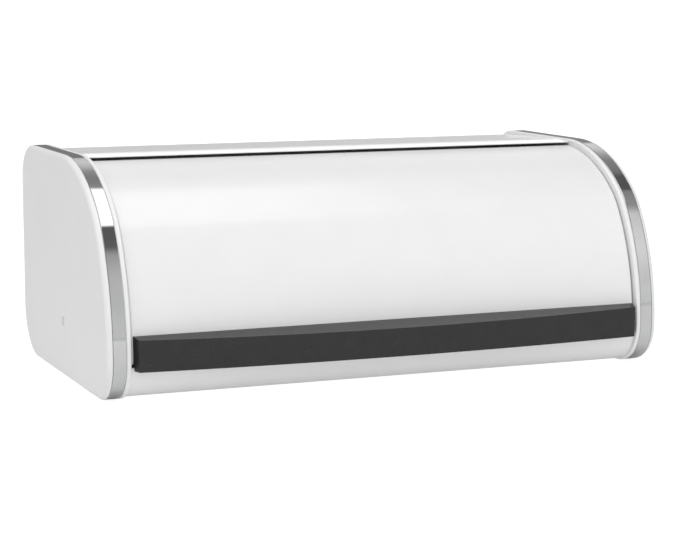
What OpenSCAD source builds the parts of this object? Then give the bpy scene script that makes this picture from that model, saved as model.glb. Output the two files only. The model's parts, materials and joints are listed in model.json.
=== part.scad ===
// Bread box with a roll top: one bent steel shell held between two moulded ends, and a curved
// steel lid that swings on two pivots and rolls back under the top of the shell.
// X is the width, Y the depth with the front at -Y, and Z is up. The origin lies on the surface
// that the box stands on, under the middle of the closed box with its grip.

/* [Overall] */
// Width over both end covers
box_w = 445; // [400:5:520]
// Depth of the ends, without the grip
box_d = 250; // [246:1:256]
// Height of the ends above the surface
box_h = 170; // [166:1:176]

/* [End outline] */
// Height of the lid's pivot above the surface
pivot_h = 42; // [40:0.5:44]
// How far the pivot lies in front of the middle of the depth
pivot_ahead = 2.6; // [0:0.1:4]
// Slope at which the crown arc, which is centred on the pivot, ends
crown_turn = 42; // [38:1:44]
// Radius of the tighter arc between crown and front
brow_r = 62; // [56:1:70]
// Height of the centre of the flat arc down the front
chest_h = 34.4; // [33:0.1:38]
// Radius of the corner at the front of the base
front_corner_r = 31.5; // [26:0.5:32]
// Radius of the corner at the back of the base
back_corner_r = 40; // [30:1:46]
// Radius of the corner at the back of the top
top_corner_r = 28; // [20:1:34]

/* [End parts] */
// Radius of the rounded edge of the end cover
cover_round = 4.5; // [3.5:0.1:5]
// Thickness of the end cover's face
cover_t = 2.3; // [1.8:0.1:2.6]
// Width of the bright band
band_w = 9.9; // [8:0.1:12]
// Thickness of the bright band
band_t = 0.8; // [0.5:0.1:1]
// Thickness of the side frame's wall, which shows as a ring beside the lid
ring_w = 3.6; // [3:0.1:4.4]
// Gap between the ends and the surface, which the pads bridge
foot_gap = 0.6; // [0.4:0.1:1]

/* [Sheet metal] */
// Thickness of the shell's steel
shell_t = 0.6; // [0.5:0.1:0.7]
// How far the shell lies below the rim of the ends
shell_inset = 3.2; // [3:0.1:3.4]
// Height of the shell's floor above the surface, measured underneath
shell_floor = 1.8; // [1.6:0.1:2.4]
// Height of the top edge of the front lip
lip_h = 26.3; // [24:0.1:27]
// Thickness of the lid's steel
lid_t = 0.6; // [0.5:0.1:0.8]
// How far the lid lies below the rim of the ends
lid_inset = 4.2; // [4:0.1:4.8]

/* [Lid] */
// Angle from closed to open, in degrees
lid_open = 82; // [70:1:82]
// How far the shell's front edge reaches ahead of the pivot
strip_ahead = 6.7; // [4:0.1:9]
// How far the shell's front edge lies below the rim of the ends
edge_inset = 2.1; // [1.8:0.1:2.4]
// How far the shallow ridge of the shell's top lies behind the pivot
ridge_behind = 17.6; // [12:0.4:24]
// How far the ridge lies below the rim of the ends
ridge_inset = 0.8; // [0.6:0.1:1.4]
// Gap in depth between the shell's front edge and the lid
top_gap = 1.6; // [1.2:0.1:2.5]
// Height of the lid's lower edge
lid_bottom = 28.5; // [28:0.1:30]
// Gap between each end of the lid and the side frame
side_gap = 1.1; // [0.8:0.1:1.5]

/* [Grip] */
// Width of the grip
grip_w = 404.6; // [360:0.2:404.6]
// Height of the grip's lower edge
grip_bottom = 24.8; // [24:0.1:26]
// Height at which the grip's top meets the lid
grip_top = 49.6; // [46:0.1:56]
// How far the grip stands out from the lid at its ends
grip_out = 8.4; // [8:0.1:12]
// How much farther the grip stands out in the middle
grip_bow = 10.3; // [6:0.1:11]
// How much shorter the grip's front is than its back, at each end
grip_slant = 2.2; // [0.5:0.1:4]
// Fall of the grip's top face towards the front, in degrees
grip_fall = 11; // [6:1:16]
// Thickness of the grip's walls
grip_t = 2.4; // [2:0.1:2.8]

/* [Hidden] */

eps = 0.01;
arc_step = 3;          // degrees between the points of an arc
fit = 0.05;            // radial clearance of screws and stems in their holes
seam = 0.1;            // gap between the parts of each end
$fn = 48;

// Planes across the width, for the right-hand end
face_x = box_w / 2;
cover_x = face_x - cover_round;
band_x = cover_x - band_w;
frame_x = band_x - ring_w;
lid_x = frame_x - side_gap;

// Centres of the end outline's arcs, as [y, z] with y measured from the middle of the depth
crown = [-pivot_ahead, pivot_h];
crown_r = box_h - pivot_h;
brow = on_arc(crown, crown_r - brow_r, crown_turn);
// The chest arc touches the brow arc, and is upright at its own centre's height
chest_dy = -box_d / 2 - brow[0];
chest_dz = chest_h - brow[1];
chest_r = (brow_r * brow_r - chest_dy * chest_dy - chest_dz * chest_dz) / (2 * (chest_dy + brow_r));
chest = [-box_d / 2 + chest_r, chest_h];
brow_turn = atan2(chest[0] - brow[0], brow[1] - chest[1]);
front_foot = [-box_d / 2 + front_corner_r, foot_gap + front_corner_r];
back_foot = [box_d / 2 - back_corner_r, foot_gap + back_corner_r];
back_top = [box_d / 2 - top_corner_r, box_h - top_corner_r];

// The shell's own corners
shell_front = -box_d / 2 + shell_inset;
shell_back = box_d / 2 - shell_inset;
shell_top = box_h - shell_inset;
shell_front_r = front_corner_r - shell_inset;
shell_back_r = back_corner_r - shell_inset;
shell_top_r = top_corner_r - shell_inset;
strip_front = crown[0] - strip_ahead;
ridge = [crown[0] + ridge_behind, box_h - ridge_inset];
ridge_fall = atan2(ridge[1] - shell_top, shell_back - shell_top_r - ridge[0]);
shell_foot = [shell_front + shell_front_r, shell_floor + shell_front_r];
lip_turn = -270 + asin((shell_foot[1] - lip_h) / shell_front_r);
tab_w = 18;
hem_l = 6;             // length of the folded edge of the lip
hem_turn = hem_l / shell_front_r * 180 / PI;
hem_step = 30;
tongue_l = 1.5;        // how far the shell's ends reach into the side frames

// The lid
lid_r = crown_r - lid_inset;
lid_turn = asin((strip_ahead + top_gap) / lid_r);
lid_inner = lid_inset + lid_t;
lid_flange = 9;        // depth of the lid's folded ends
lid_return = 6;        // depth of the lid's folded top edge
cheek_t = 2.2;
rib_t = 1.2;           // height of the rib round the cheek
cheek_x = lid_x - lid_t - cheek_t;
hub_r = 11.5;
hub_x0 = cheek_x - 3;
hub_x1 = frame_x - 1.2;

// The pivot
pin_d = 6;
pin_seat_d = 8;
pin_head_d = 14;
pin_head_t = 2.5;
boss_r = 9;
boss_x = frame_x + 9.5;
bush_d = 10;
washer_d = 18;
washer_t = 1;
plug_d = 10.4;
plug_sink = 0.6;       // how far the plug's face lies below the cover's
running = 0.05;        // radial clearance of the pin in its bush

// Screws
screw_d = 3;
head_d = 6;
head_t = 1.8;
wall = 2.2;            // thickness of the side frame's shoulder
cover_wall = 2.6;
cover_points = [[78, 138], [98, 40], [-62, 126], [-98, 42]];
shell_points = [[76, 158], [113.5, 47], [60, 10], [-62, 10]];
shell_screw_end = band_x + 5;
cover_screw_end = band_x + 9;
cheek_turns = [12, 34, 60, 84];
grip_screw_n = 5;
grip_screw_z = 42.4;
grip_screw_pitch = 92;

// Stops and pads
stop_r = 4;
stop_gap = 0.2;
stop_stem_d = 4;
stop_x = cheek_x + 0.3;
closed_stop = [-box_d / 2 + 11, lid_bottom - stop_gap - stop_r];
open_stop_reach = 95;
open_turn = lid_turn - lid_open;
open_stop = on_arc(on_arc(crown, open_stop_reach, open_turn), stop_r + stop_gap, open_turn - 90);
pad_l = 26;
pad_w = 7;
pad_t = 2;
pad_at = [-68, 62];
foot_from = -86;
foot_to = 78;

// The grip
grip_back = -box_d / 2 + lid_inset;
grip_front = grip_back - grip_out - grip_bow;
bow_r = (grip_w * grip_w / 4 + grip_bow * grip_bow) / (2 * grip_bow);
grip_ahead = 5;        // how far the grip's blank reaches ahead of its front
grip_sunk = 3;         // how far the grip's blank reaches into the lid
slant_reach = grip_slant * (grip_out + grip_bow + grip_ahead) / grip_out;
lip_gap = 0.4;         // clearance of the grip's hanging edge from the lip
grip_boss_end = grip_back - 7;
grip_hole_end = grip_boss_end + 0.5;
// Where the upper edge of a grip screw's head meets the inside of the lid
grip_seat = chest[0] - sqrt(pow(chest_r - lid_inner, 2) - pow(grip_screw_z + head_d / 2 - chest_h, 2));
y_shift = -(grip_front + box_d / 2) / 2;

white = [0.92, 0.92, 0.92];
plastic_white = [0.88, 0.88, 0.89];
bright = [0.75, 0.76, 0.78];
steel = [0.62, 0.63, 0.65];
black = [0.09, 0.09, 0.1];
rubber = [0.2, 0.2, 0.21];

// ---- outlines -----------------------------------------------------------------------------

// A point on an arc. The turn is 0 at the top, 90 at the front and -90 at the back
function on_arc(c, r, turn) = [c[0] - r * sin(turn), c[1] + r * cos(turn)];
function count(a, b, step) = ceil(abs(b - a) / step);
function arc(c, r, a, b, step = arc_step) = let(n = count(a, b, step))
    [for (i = [0:n]) on_arc(c, r, a + (b - a) * i / n)];
// An arc without its last point, for when another arc goes on from there
function lead(c, r, a, b) = let(n = count(a, b, arc_step))
    [for (i = [0:n - 1]) on_arc(c, r, a + (b - a) * i / n)];
function reverse(list) = [for (i = [len(list) - 1:-1:0]) list[i]];

// The top and front of the ends at a depth d below the rim, from a turn down to upright
function front_line(d, from) = concat(
    lead(crown, crown_r - d, from, crown_turn),
    lead(brow, brow_r - d, crown_turn, brow_turn),
    arc(chest, chest_r - d, brow_turn, 90));
// The whole outline of the ends at a depth d below the rim
function rim(d) = concat(
    front_line(d, 0),
    arc(front_foot, front_corner_r - d, 90, 180),
    arc(back_foot, back_corner_r - d, 180, 270),
    arc(back_top, top_corner_r - d, 270, 360));
// A point on the front line at a turn and a depth d below the rim
function rim_point(d, turn) = turn < crown_turn ? on_arc(crown, crown_r - d, turn)
    : turn < brow_turn ? on_arc(brow, brow_r - d, turn) : on_arc(chest, chest_r - d, turn);
// The three bends of the shell, from the back of the top round to a turn at the front
function shell_bends(d, to = lip_turn) = concat(
    arc([shell_back - shell_top_r, shell_top - shell_top_r], shell_top_r - d, -ridge_fall, -90),
    arc([shell_back - shell_back_r, shell_floor + shell_back_r], shell_back_r - d, -90, -180),
    arc(shell_foot, shell_front_r - d, -180, to));
// The shell's top, a depth d below its surface: it rises from the front edge to the ridge
function shell_roof(d) = [[strip_front, box_h - edge_inset - d], [ridge[0], ridge[1] - d]];
// The shell from its front edge over the back and the floor up to the lip
function shell_line(d) = concat(shell_roof(d), shell_bends(d));
// The shell's section, with the lip's edge folded back on itself in a round hem
function shell_section() = concat(
    shell_roof(0),
    shell_bends(0),
    arc(on_arc(shell_foot, shell_front_r - shell_t, lip_turn), shell_t,
        lip_turn - hem_step, lip_turn - 180, hem_step),
    arc(shell_foot, shell_front_r - 2 * shell_t, lip_turn + 1, lip_turn + hem_turn),
    reverse(shell_bends(shell_t, lip_turn + hem_turn)),
    reverse(shell_roof(shell_t)));
// The lid's line at a depth d below the rim, from a turn down to a height
function lid_line(d, low, from = lid_turn) = concat(front_line(d, from), [[-box_d / 2 + d, low]]);

// ---- helpers ------------------------------------------------------------------------------

// Extrudes a [y, z] outline along X
module along_x(x0, x1) translate([x0, 0, 0]) rotate([90, 0, 90]) linear_extrude(x1 - x0) children();
// A rod along X between two planes
module rod(at, x0, x1, d) translate([x0, at[0], at[1]]) rotate([0, 90, 0]) cylinder(h = x1 - x0, d = d);
module cone(at, x0, x1, d0, d1)
    translate([x0, at[0], at[1]]) rotate([0, 90, 0]) cylinder(h = x1 - x0, d1 = d0, d2 = d1);
// A band of sheet between two lines
module sheet(outer, inner) polygon(concat(outer, reverse(inner)));
module ring(d0, d1) difference() { polygon(rim(d0)); polygon(rim(d1)); }
// Puts the body in the part's frame
module placed() translate([0, y_shift, 0]) children();
module left() mirror([1, 0, 0]) children();
// A cross slot in a screw head, cut from a plane inwards
module cross_slot(at, x0, depth) for (turn = [0, 90])
    translate([x0, at[0], at[1]]) rotate([turn, 0, 0]) cube([2 * depth, 0.8, 3.4], center = true);

// ---- the fixed body -----------------------------------------------------------------------

module shell_tab(at) difference() {
    along_x(frame_x - shell_t, frame_x) intersection() {
        translate(at) square(tab_w, center = true);
        polygon(shell_line(shell_t / 2));
    }
    rod(at, frame_x - 2, frame_x + 1, screw_d + 2 * fit);
}

module body_shell() color(white) placed() {
    along_x(-frame_x, frame_x) polygon(shell_section());
    // the tongues at both ends, which enter the slots of the side frames
    along_x(-frame_x - tongue_l, frame_x + tongue_l)
        sheet(shell_line(fit), shell_line(shell_t - fit));
    for (at = shell_points) {
        shell_tab(at);
        left() shell_tab(at);
    }
}

module side_frame() difference() {
    union() {
        along_x(frame_x, band_x) polygon(rim(0));
        along_x(band_x, cover_x - seam) difference() {
            union() {
                polygon(rim(band_t));
                // the foot, which fills the gap between the ends of the bright band
                intersection() {
                    polygon(rim(0));
                    translate([foot_from, 0]) square([foot_to - foot_from, box_h / 4]);
                }
            }
            polygon(rim(band_t + wall));
        }
        rod(crown, frame_x + 1, boss_x, 2 * boss_r);
        for (at = shell_points) rod(at, frame_x + 1, shell_screw_end + 1.5, 8);
    }
    // the slot that takes the shell's tongue
    along_x(frame_x - 1, frame_x + tongue_l + fit) sheet(shell_line(0), shell_line(shell_t));
    rod(crown, frame_x - 1, boss_x + 1, pin_seat_d + 2 * fit);
    for (at = shell_points) rod(at, frame_x - 1, shell_screw_end + 0.3, screw_d + 2 * fit);
    for (at = cover_points) {
        rod(at, frame_x - 1, band_x + 1, screw_d + 2 * fit);
        cone(at, frame_x - eps, frame_x + head_t, head_d + 2 * fit, screw_d + 2 * fit);
    }
    for (at = [closed_stop, open_stop]) rod(at, frame_x - 1, band_x + 1, stop_stem_d + 2 * fit);
    for (y = pad_at) translate([band_x + 1.4, y - pad_l / 2 - 0.2, -1])
        cube([pad_w + 0.4, pad_l + 0.4, pad_t + 1]);
}
module side_frame_right() color(plastic_white) placed() side_frame();
module side_frame_left() color(plastic_white) placed() left() side_frame();

// One step of the rounded edge, between two angles of its quarter circle
module edge_step(a, b) hull() for (turn = [a, b])
    along_x(cover_x + cover_round * sin(turn) - eps, cover_x + cover_round * sin(turn))
        polygon(rim(cover_round * (1 - cos(turn))));

module end_cover() difference() {
    union() {
        difference() {
            for (turn = [0:22.5:67.5]) edge_step(turn, turn + 22.5);
            along_x(cover_x - 1, face_x - cover_t) polygon(rim(cover_wall));
        }
        // the spigot that enters the side frame
        along_x(cover_x - 5, face_x - cover_t + eps) ring(band_t + wall + 0.3, band_t + wall + 2);
        for (at = cover_points) rod(at, band_x + 0.3, face_x - cover_t + eps, 8);
        rod(crown, face_x - cover_t - 1.2, face_x - cover_t + eps, plug_d + 4);
    }
    for (at = cover_points) rod(at, band_x, cover_screw_end + 0.5, screw_d + 2 * fit);
    rod(crown, face_x - 6, face_x + 1, plug_d + 2 * fit);
}
module end_cover_right() color(white) placed() end_cover();
module end_cover_left() color(white) placed() left() end_cover();

module bright_band() difference() {
    along_x(band_x + seam, cover_x - seam) ring(0, band_t);
    translate([band_x - 1, foot_from - 0.2, -1]) cube([band_w + 2, foot_to - foot_from + 0.4, box_h / 4]);
}
module bright_band_right() color(bright) placed() bright_band();
module bright_band_left() color(bright) placed() left() bright_band();

// The pin is pressed into the side frame's boss from outside, and the lid's bush turns on its end
module pivot_pin() difference() {
    union() {
        rod(crown, hub_x0 - 0.5, frame_x + eps, pin_d);
        rod(crown, frame_x, boss_x + eps, pin_seat_d);
        rod(crown, boss_x, boss_x + pin_head_t, pin_head_d);
    }
    translate([boss_x + pin_head_t - 1.5, crown[0], crown[1]]) rotate([0, 90, 0])
        cylinder(h = 3, d = 5, $fn = 6);
}
module pivot_pin_right() color(steel) placed() pivot_pin();
module pivot_pin_left() color(steel) placed() left() pivot_pin();

module pivot_plug() difference() {
    rod(crown, face_x - cover_t - 1, face_x - plug_sink, plug_d);
    rod(crown, face_x - cover_t - 2, face_x - plug_sink - 1.2, plug_d - 3);
}
module pivot_plug_right() color(plastic_white) placed() pivot_plug();
module pivot_plug_left() color(plastic_white) placed() left() pivot_plug();

module pivot_washer() difference() {
    rod(crown, frame_x - washer_t, frame_x, washer_d);
    rod(crown, frame_x - washer_t - 1, frame_x + 1, pin_d + 4 * fit);
}
module pivot_washer_right() color(steel) placed() pivot_washer();
module pivot_washer_left() color(steel) placed() left() pivot_washer();

module cover_screws() for (at = cover_points) difference() {
    union() {
        cone(at, frame_x + 0.05, frame_x + head_t, head_d, screw_d);
        rod(at, frame_x + head_t - eps, cover_screw_end, screw_d);
    }
    cross_slot(at, frame_x, 1);
}
module cover_screws_right() color(steel) placed() cover_screws();
module cover_screws_left() color(steel) placed() left() cover_screws();

module shell_screws() for (at = shell_points) difference() {
    union() {
        rod(at, frame_x - shell_t - head_t, frame_x - shell_t, head_d);
        rod(at, frame_x - shell_t - eps, shell_screw_end, screw_d);
    }
    cross_slot(at, frame_x - shell_t - head_t, 1);
}
module shell_screws_right() color(steel) placed() shell_screws();
module shell_screws_left() color(steel) placed() left() shell_screws();

module foot_pads() for (y = pad_at)
    translate([band_x + 1.6, y - pad_l / 2, 0]) cube([pad_w, pad_l, pad_t]);
module foot_pads_right() color(rubber) placed() foot_pads();
module foot_pads_left() color(rubber) placed() left() foot_pads();

module stop_buffer(at) {
    rod(at, stop_x, frame_x, 2 * stop_r);
    rod(at, frame_x - eps, band_x, stop_stem_d);
}
module closed_stop_right() color(rubber) placed() stop_buffer(closed_stop);
module closed_stop_left() color(rubber) placed() left() stop_buffer(closed_stop);
module open_stop_right() color(rubber) placed() stop_buffer(open_stop);
module open_stop_left() color(rubber) placed() left() stop_buffer(open_stop);

// ---- the lid ------------------------------------------------------------------------------

// The folded end of the lid, which the cheek is screwed to
module lid_end() difference() {
    along_x(lid_x - lid_t, lid_x) sheet(
        lid_line(lid_inset + lid_t / 2, lid_bottom + lid_t / 2, lid_turn + 0.1),
        lid_line(lid_inset + lid_flange, lid_bottom + lid_t / 2, lid_turn + 0.1));
    for (turn = cheek_turns) rod(rim_point(lid_inset + lid_flange / 2, turn), lid_x - 2, lid_x + 1,
        screw_d + 2 * fit);
}

module lid_panel() color(white) placed() difference() {
    union() {
        along_x(-lid_x, lid_x) {
            sheet(lid_line(lid_inset, lid_bottom), lid_line(lid_inner, lid_bottom));
            // the top edge, folded towards the pivot
            translate(crown) rotate(lid_turn) translate([-lid_t, lid_r - lid_return])
                square([lid_t, lid_return - lid_t / 2]);
            // the lower edge, folded inwards
            translate([-box_d / 2 + lid_inset + lid_t / 2, lid_bottom]) square([lid_flange, lid_t]);
        }
        lid_end();
        left() lid_end();
    }
    grip_holes();
}

module lid_cheek() difference() {
    union() {
        along_x(cheek_x, cheek_x + cheek_t)
            polygon(concat(lid_line(lid_inner, lid_bottom + lid_t),
                [[crown[0], lid_bottom + lid_t], crown]));
        rod(crown, hub_x0, hub_x1, 2 * hub_r);
        // the stiffening rib round the edge
        along_x(cheek_x - rib_t, cheek_x + cheek_t / 2)
            sheet(lid_line(lid_inset + lid_flange + 1, lid_bottom + 4),
                lid_line(lid_inset + lid_flange + 3, lid_bottom + 4));
    }
    // room for the folded top and lower edges of the lid
    along_x(cheek_x - 2, lid_x) translate(crown) rotate(lid_turn)
        translate([-lid_t, lid_r - lid_return]) square([lid_t + 1, lid_return + 1]);
    for (turn = cheek_turns) rod(rim_point(lid_inset + lid_flange / 2, turn), cheek_x - 2, lid_x,
        screw_d + 2 * fit);
    rod(crown, hub_x0 - 1, hub_x1 + 1, bush_d);
}
module lid_cheek_right() color(plastic_white) placed() lid_cheek();
module lid_cheek_left() color(plastic_white) placed() left() lid_cheek();

module pivot_bush() difference() {
    rod(crown, hub_x0, hub_x1, bush_d);
    rod(crown, hub_x0 - 1, hub_x1 + 1, pin_d + 2 * running);
}
module pivot_bush_right() color(rubber) placed() pivot_bush();
module pivot_bush_left() color(rubber) placed() left() pivot_bush();

module cheek_screws() for (turn = cheek_turns) difference() {
    union() {
        rod(rim_point(lid_inset + lid_flange / 2, turn), cheek_x - head_t, cheek_x, head_d);
        rod(rim_point(lid_inset + lid_flange / 2, turn), cheek_x - eps, lid_x, screw_d);
    }
    cross_slot(rim_point(lid_inset + lid_flange / 2, turn), cheek_x - head_t, 1);
}
module cheek_screws_right() color(steel) placed() cheek_screws();
module cheek_screws_left() color(steel) placed() left() cheek_screws();

// Rods along Y at the grip's screws, from one plane forward to another
module grip_rods(y0, y1, d) for (i = [0:grip_screw_n - 1])
    translate([(i - (grip_screw_n - 1) / 2) * grip_screw_pitch, y0, grip_screw_z])
        rotate([90, 0, 0]) cylinder(h = y0 - y1, d = d);
module grip_holes() grip_rods(grip_seat + 2, grip_hole_end, screw_d + 2 * fit);

// The grip's form drawn in by an amount t, down to a height. In plan its front is bowed and its
// ends slant
module grip_form(t, low) intersection() {
    translate([0, grip_front + bow_r, 0]) cylinder(h = box_h, r = bow_r - t, $fn = 1080);
    linear_extrude(box_h) polygon([
        [-grip_w / 2 + t + slant_reach, grip_front - grip_ahead],
        [grip_w / 2 - t - slant_reach, grip_front - grip_ahead],
        [grip_w / 2 - t, grip_back],
        [grip_w / 2 - t, grip_back + grip_sunk],
        [-grip_w / 2 + t, grip_back + grip_sunk],
        [-grip_w / 2 + t, grip_back]]);
    along_x(-box_w / 2, box_w / 2) polygon([
        [grip_front - grip_ahead, low],
        [grip_back + grip_sunk, low],
        [grip_back + grip_sunk, grip_top - t + grip_sunk * tan(grip_fall)],
        [grip_front - grip_ahead, grip_top - t - (grip_back - grip_front + grip_ahead) * tan(grip_fall)]]);
}

module grip() color(black) placed() difference() {
    union() {
        difference() {
            grip_form(0, grip_bottom);
            // the finger hollow, open underneath
            intersection() {
                grip_form(grip_t, grip_bottom - 1);
                translate([-box_w / 2, grip_front, 0]) cube([box_w, grip_back - wall - grip_front, box_h]);
            }
        }
        grip_rods(grip_back - wall / 2, grip_boss_end, 2 * screw_d);
    }
    // the lid's face, and the room for the lip
    along_x(-box_w / 2, box_w / 2)
        polygon(concat(lid_line(lid_inset, lid_bottom), [[0, lid_bottom], [0, box_h / 2]]));
    translate([-box_w / 2, shell_front - lip_gap, 0]) cube([box_w, box_d / 4, lid_bottom + eps]);
    grip_holes();
}

module grip_screws() color(steel) placed() {
    grip_rods(grip_seat + head_t, grip_seat, head_d);
    grip_rods(grip_seat + head_t / 2, grip_hole_end + 0.3, screw_d);
}

body_shell();
side_frame_left();
side_frame_right();
end_cover_left();
end_cover_right();
bright_band_left();
bright_band_right();
pivot_pin_left();
pivot_pin_right();
pivot_plug_left();
pivot_plug_right();
pivot_washer_left();
pivot_washer_right();
cover_screws_left();
cover_screws_right();
shell_screws_left();
shell_screws_right();
foot_pads_left();
foot_pads_right();
closed_stop_left();
closed_stop_right();
open_stop_left();
open_stop_right();
lid_panel();
lid_cheek_left();
lid_cheek_right();
pivot_bush_left();
pivot_bush_right();
cheek_screws_left();
cheek_screws_right();
grip();
grip_screws();
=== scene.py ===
import json
import math

import bmesh
import bpy
from mathutils import Matrix, Vector


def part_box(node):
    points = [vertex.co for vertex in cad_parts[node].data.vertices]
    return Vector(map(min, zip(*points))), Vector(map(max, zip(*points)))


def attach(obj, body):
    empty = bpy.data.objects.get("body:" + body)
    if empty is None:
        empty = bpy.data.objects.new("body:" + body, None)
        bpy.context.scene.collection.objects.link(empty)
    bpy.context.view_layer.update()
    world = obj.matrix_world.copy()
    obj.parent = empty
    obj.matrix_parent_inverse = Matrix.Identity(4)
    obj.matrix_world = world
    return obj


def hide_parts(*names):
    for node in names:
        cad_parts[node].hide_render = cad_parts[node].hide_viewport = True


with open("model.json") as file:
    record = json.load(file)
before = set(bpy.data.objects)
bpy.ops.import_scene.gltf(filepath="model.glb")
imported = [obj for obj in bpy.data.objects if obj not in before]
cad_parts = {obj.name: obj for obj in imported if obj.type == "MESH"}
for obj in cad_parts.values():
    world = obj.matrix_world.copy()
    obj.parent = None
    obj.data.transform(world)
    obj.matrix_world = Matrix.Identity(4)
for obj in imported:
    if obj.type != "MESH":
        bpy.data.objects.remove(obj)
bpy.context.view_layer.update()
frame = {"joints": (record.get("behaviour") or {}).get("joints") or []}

# A bread box with a roll top. Lengths are in metres, in the CAD model's frame: +X to the right,
# +Y to the back, +Z up. "Depth" is how far something lies below the rim of the two ends.

MM = 0.001
BODY = "box"
LID = "lid"
ENDS = (("left", -1), ("right", 1))

# ---- camera --------------------------------------------------------------------------------

SENSOR = 36.0
FOCAL = 107.65
CAMERA_AT = Vector((-0.6004, -1.48285, 0.2972))
CAMERA_YAW = math.radians(22.11)       # from +Y towards +X
CAMERA_PITCH = math.radians(7.94)      # below the horizon

camera = bpy.data.objects.new("camera", bpy.data.cameras.new("camera"))
bpy.context.scene.collection.objects.link(camera)
camera.data.sensor_width = SENSOR
camera.data.lens = FOCAL
camera.data.clip_start = 0.05
camera.data.clip_end = 50
camera.location = CAMERA_AT
camera.rotation_euler = (math.pi / 2 - CAMERA_PITCH, 0, -CAMERA_YAW)
bpy.context.scene.camera = camera

# ---- dimensions ----------------------------------------------------------------------------

# From the frame
PIVOT = tuple(frame["joints"][0]["pos_m"][1:])
end_low, end_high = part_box("side_frame_right")
shell_low, shell_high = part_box("body_shell")
lid_low, lid_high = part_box("lid_panel")
grip_low, grip_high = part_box("grip")
band_low, band_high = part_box("bright_band_right")
FRONT = end_low.y
BACK = end_high.y
LOW = end_low.z
TOP = end_high.z
MIDDLE = (FRONT + BACK) / 2
FACE_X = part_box("end_cover_right")[1].x
COVER_X = band_high.x
BAND_X = band_low.x
FRAME_X = end_low.x
LID_X = lid_high.x
CHEEK_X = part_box("lid_cheek_right")[0].x + 3 * MM
BOSS_X = FRAME_X + 9.5 * MM            # outer end of the pivot boss
HUB_IN = CHEEK_X - 3 * MM
HUB_OUT = FRAME_X - 1.2 * MM

# The outline of the ends: a crown arc about the pivot, a tighter brow, a flat chest, then corners
CROWN_TURN = 42
BROW_R = 62 * MM
CHEST_Z = 34.4 * MM
FRONT_CORNER_R = 31.5 * MM
BACK_CORNER_R = 40 * MM
TOP_CORNER_R = 28 * MM
ARC_STEP = 1.5
CORNER_STEP = 4.5

# End parts
COVER_ROUND = 4.5 * MM
COVER_T = 2.3 * MM
COVER_WALL = 2.6 * MM
BAND_T = 0.8 * MM
SHOULDER_T = 2.2 * MM
BAND_GROOVE = 0.4 * MM     # open joint on each side of the bright band
FOOT_FROM = MIDDLE - 86 * MM
FOOT_TO = MIDDLE + 78 * MM

# Sheet metal
SHEET_T = 0.6 * MM
HEM_L = 6 * MM
HEM_GAP = 0.1 * MM
STRIP_FRONT = PIVOT[0] - 6.7 * MM      # the top strip's front edge
STRIP_INSET = 2.1 * MM                 # and how far it lies below the ends
RIDGE_AT = PIVOT[0] + 17.6 * MM
TOP_GAP = 1.6 * MM                     # between the strip and the closed lid
LIP_TOP = 26.3 * MM
SHELL_INSET = BACK - shell_high.y
LID_INSET = lid_low.y - FRONT
LID_FOLD = 9 * MM                      # how deep the lid's edges are folded in
LID_TOP_FOLD = 6 * MM
LID_ROLL = 1.5 * MM                    # outer radius of the folded edges
LID_CORNER = 3.0 * MM                  # radius of the lid's corners, seen from the front

# Grip
GRIP_OUT = 8.4 * MM        # how far the ends stand out from the lid
GRIP_BOW = 10.3 * MM       # how much further the middle stands out
GRIP_SLANT = 2.2 * MM      # how much shorter the front is at each end
GRIP_TOP = 49.6 * MM
GRIP_FALL = math.radians(11)
GRIP_WALL = 2.4 * MM
GRIP_ROUND = 0.9 * MM
GRIP_BOSS_R = 3 * MM
GRIP_BOSS_L = 7 * MM
GRIP_SCREWS = [(i - 2) * 92 * MM for i in range(5)]
GRIP_SCREW_Z = 42.4 * MM

# Pivot and fasteners
PLUG_R = 5.2 * MM
PLUG_GAP = 0.25 * MM       # between the plug and the cover
PLUG_SINK = 1.3 * MM       # how far the plug lies below the cover's face
PIN_R = 3 * MM
BUSH_R = 5 * MM
HUB_R = 11.5 * MM
SCREW_R = 1.5 * MM
HEAD_R = 3 * MM
HEAD_T = 1.8 * MM
CORE_R = 0.82 * SCREW_R    # the shank between its threads
PITCH = 0.8 * MM
SPIN_FIRST = 17            # how far the first screw of a group is turned, in degrees
SPIN_STEP = 31             # and how much further each next one
TO_FRONT = Matrix.Rotation(-math.pi / 2, 4, "Z")      # turns +X to the box's front


def spot(y, z):
    """A (y, z) place from millimetres, with y measured from the middle of the ends."""
    return MIDDLE + y * MM, z * MM


COVER_POINTS = [spot(78, 138), spot(98, 40), spot(-62, 126), spot(-98, 42)]
SHELL_POINTS = [spot(76, 158), spot(113.5, 47), spot(60, 10), spot(-62, 10)]
CHEEK_TURNS = [12, 34, 60, 84]

# ---- outlines, as lists of (y, z) ------------------------------------------------------------


def on_arc(centre, radius, turn):
    """A point on an arc. The turn is 0 at the top, 90 at the front and -90 at the back."""
    a = math.radians(turn)
    return centre[0] - radius * math.sin(a), centre[1] + radius * math.cos(a)


def arc(centre, radius, start, end, step=ARC_STEP):
    """Points on an arc from one turn to another, about a step of degrees apart."""
    n = max(1, math.ceil(abs(end - start) / step - 1e-6))
    return [on_arc(centre, radius, start + (end - start) * i / n) for i in range(n + 1)]


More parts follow.
